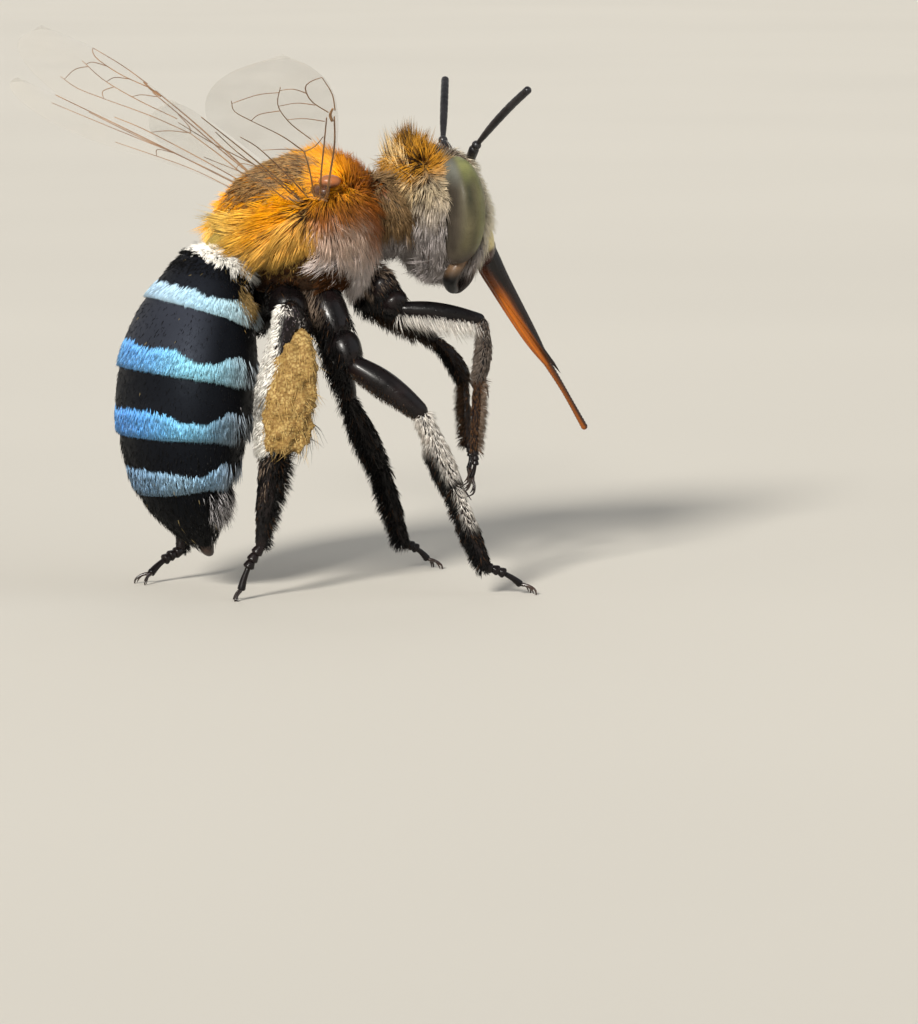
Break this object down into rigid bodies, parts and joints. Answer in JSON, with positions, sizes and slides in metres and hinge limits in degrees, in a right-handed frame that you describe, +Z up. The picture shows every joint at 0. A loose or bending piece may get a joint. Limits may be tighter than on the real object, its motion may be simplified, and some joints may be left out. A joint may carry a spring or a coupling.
{
  "type": "blue-banded bee",
  "caption": "Female blue-banded bee, standing, with furry thorax, banded abdomen curled down, tongue stretched out, front legs lifted and wings raised.",
  "frame": {"origin": "on the ground, under the middle of the bee's outline", "axes": "+X the way the bee heads, +Y its left side, +Z up"},
  "size_m": [0.0114, 0.0166, 0.0116],
  "materials": {
    "thorax_fur": "matt orange fur, greyer on the back and white below",
    "head_fur": "matt cream and white fur, orange on the crown",
    "shell": "glossy near-black shell",
    "banded_shell": "satin black shell with bands of flat shining blue hair",
    "eye": "glossy grey-green facets with a dark streak",
    "feeler": "satin dark brown",
    "tongue": "glossy chestnut brown",
    "face": "satin pale yellow with dark edges",
    "leg_fur": "black shell with black and white hair",
    "pollen": "matt orange-yellow pollen packed in white hair",
    "tegula": "glossy brown",
    "wing": "clear thin membrane with brown veins"
  },
  "bodies": {
    "root": {"abdomen_1": "banded_shell", "abdomen_2": "banded_shell", "abdomen_3": "banded_shell", "abdomen_4": "banded_shell", "abdomen_5": "banded_shell", "abdomen_6": "banded_shell", "antenna_flagellum_left": "feeler", "antenna_flagellum_right": "feeler", "antenna_scape_left": "feeler", "antenna_scape_right": "feeler", "basitarsus_front_left": "leg_fur", "basitarsus_front_right": "leg_fur", "basitarsus_hind_left": "leg_fur", "basitarsus_hind_right": "leg_fur", "basitarsus_middle_left": "leg_fur", "basitarsus_middle_right": "leg_fur", "clypeus": "face", "eye_left": "eye", "eye_right": "eye", "femur_front_left": "leg_fur", "femur_front_right": "leg_fur", "femur_hind_left": "leg_fur", "femur_hind_right": "leg_fur", "femur_middle_left": "leg_fur", "femur_middle_right": "leg_fur", "foot_front_left": "leg_fur", "foot_front_right": "leg_fur", "foot_hind_left": "leg_fur", "foot_hind_right": "leg_fur", "foot_middle_left": "leg_fur", "foot_middle_right": "leg_fur", "forewing_left": "wing", "forewing_right": "wing", "head": "head_fur", "hindwing_left": "wing", "hindwing_right": "wing", "hip_front_left": "leg_fur", "hip_front_right": "leg_fur", "hip_hind_left": "leg_fur", "hip_hind_right": "leg_fur", "hip_middle_left": "leg_fur", "hip_middle_right": "leg_fur", "mandible_left": "shell", "mandible_right": "shell", "neck": "head_fur", "proboscis_sheath": "tongue", "tegula_left": "tegula", "tegula_right": "tegula", "thorax": "thorax_fur", "tibia_front_left": "leg_fur", "tibia_front_right": "leg_fur", "tibia_hind_left": "pollen", "tibia_hind_right": "pollen", "tibia_middle_left": "leg_fur", "tibia_middle_right": "leg_fur", "tongue": "tongue"}
  },
  "joints": []
}
